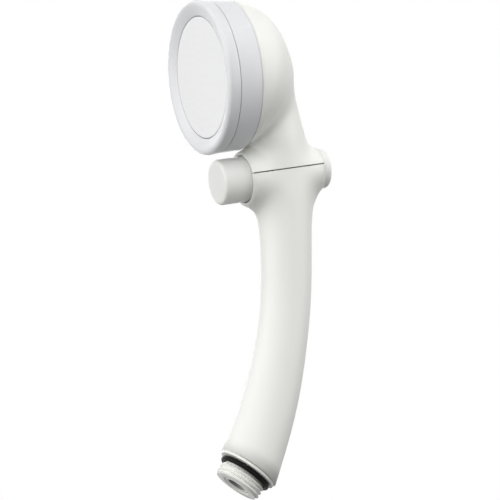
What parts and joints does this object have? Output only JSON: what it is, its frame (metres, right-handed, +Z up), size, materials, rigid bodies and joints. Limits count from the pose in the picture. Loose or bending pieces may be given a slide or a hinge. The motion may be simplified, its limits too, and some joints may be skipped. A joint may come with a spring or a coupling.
{
  "type": "handheld shower head",
  "caption": "Handheld shower head: round drum face on a cup and neck, curved handle, push-through stop valve across the body, threaded inlet with O-ring.",
  "frame": {"origin": "middle of the end face of the inlet's thread", "axes": "+Z up, -Y the way the water sprays, X across; the head is symmetrical about X = 0"},
  "size_m": [0.066, 0.0645, 0.2127],
  "materials": {
    "body_white": "glossy moulded plastic",
    "drum_white": "glossy moulded plastic, slightly bluish",
    "plate_white": "satin moulded plastic",
    "button_grey": "satin grey plastic",
    "valve_white": "satin moulded plastic",
    "tube_white": "extruded plastic tube",
    "rubber_black": "black rubber",
    "screw_steel": "bright steel"
  },
  "bodies": {
    "body": {"chamber_plate": "valve_white", "chamber_tube_seal": "rubber_black", "connector_tube_seal": "rubber_black", "face_seal": "rubber_black", "flow_restrictor": "valve_white", "handle_shell": "body_white", "head_housing": "body_white", "inlet_connector": "body_white", "inlet_o_ring": "rubber_black", "inlet_tube": "tube_white", "outlet_tube": "tube_white", "plug_seal": "rubber_black", "valve_body": "valve_white", "valve_inlet_seal": "rubber_black", "valve_outlet_seal": "rubber_black"},
    "stop_button": {"front_button": "button_grey", "rear_button": "button_grey", "valve_spool": "valve_white", "spool_seal_front": "rubber_black", "spool_seal_middle": "rubber_black", "spool_seal_rear": "rubber_black", "button_screw": "screw_steel"},
    "spray_face": {"face_bezel": "drum_white", "spray_plate": "plate_white", "water_distributor": "valve_white"},
    "drum_ring": {"clamp_ring": "drum_white"}
  },
  "joints": [
    {"name": "stop_button_slide", "type": "slide", "parent": "body", "child": "stop_button", "axis": [0, 0.9994, 0.0349], "range_m": [0, 0.008]},
    {"name": "spray_face_slide", "type": "slide", "parent": "body", "child": "spray_face", "axis": [0, -1, 0], "range_m": [0, 0.0045]},
    {"name": "clamp_ring_turn", "type": "hinge", "parent": "spray_face", "child": "drum_ring", "pos_m": [0, 0.01842, 0.17295], "axis": [0, -1, 0], "range_deg": [0, 540]}
  ],
  "couplings": [
    {"joint": "spray_face_slide", "follows": "clamp_ring_turn", "m_per_rad": 0.000477}
  ]
}
